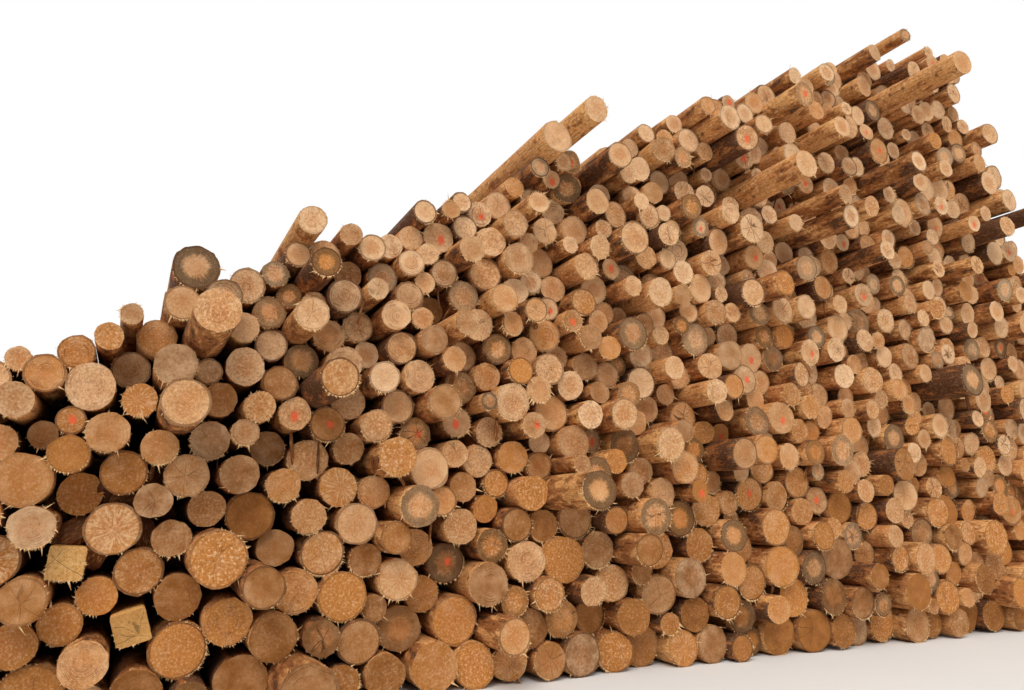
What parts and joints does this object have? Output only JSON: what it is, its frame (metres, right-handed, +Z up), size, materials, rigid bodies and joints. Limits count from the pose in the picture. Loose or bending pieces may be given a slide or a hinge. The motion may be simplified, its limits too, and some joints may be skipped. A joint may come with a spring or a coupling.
{
  "type": "stack of logs",
  "caption": "Loose stack of peeled softwood logs lying side by side, sawn ends to the front, with a top that slopes up from one side, a few logs pushed out of the face and two squared timbers low in it.",
  "frame": {"origin": "on the ground under the middle of the stack", "axes": "+X along the front face towards the stack's high end, +Y along the logs from their front ends to the back, +Z up"},
  "size_m": [13.4068, 5.4174, 6.1672],
  "materials": {
    "peeled_log": "matt, freshly sawn ends",
    "sawn_timber": "matt, rough sawn faces"
  },
  "bodies": {
    "root": {"bay_01_tier_1": "peeled_log", "bay_01_tier_2": "peeled_log", "bay_02_tier_1": "peeled_log", "bay_02_tier_2": "peeled_log", "bay_03_tier_1": "peeled_log", "bay_03_tier_2": "peeled_log", "bay_03_tier_3": "peeled_log", "bay_04_tier_1": "peeled_log", "bay_04_tier_2": "peeled_log", "bay_04_tier_3": "peeled_log", "bay_05_tier_1": "peeled_log", "bay_05_tier_2": "peeled_log", "bay_05_tier_3": "peeled_log", "bay_05_tier_4": "peeled_log", "bay_06_tier_1": "peeled_log", "bay_06_tier_2": "peeled_log", "bay_06_tier_3": "peeled_log", "bay_06_tier_4": "peeled_log", "bay_07_tier_1": "peeled_log", "bay_07_tier_2": "peeled_log", "bay_07_tier_3": "peeled_log", "bay_07_tier_4": "peeled_log", "bay_08_tier_1": "peeled_log", "bay_08_tier_2": "peeled_log", "bay_08_tier_3": "peeled_log", "bay_08_tier_4": "peeled_log", "bay_09_tier_1": "peeled_log", "bay_09_tier_2": "peeled_log", "bay_10_tier_1": "peeled_log", "dark_ended_rider": "peeled_log", "left_rider_of_pair": "peeled_log", "long_proud_log": "peeled_log", "low_squared_timber": "sawn_timber", "lower_rider": "peeled_log", "proud_log_on_lower_slope": "peeled_log", "proud_log_on_upper_slope": "peeled_log", "proud_log_under_crown": "peeled_log", "right_rider_of_pair": "peeled_log", "squared_timber": "sawn_timber"}
  },
  "joints": []
}
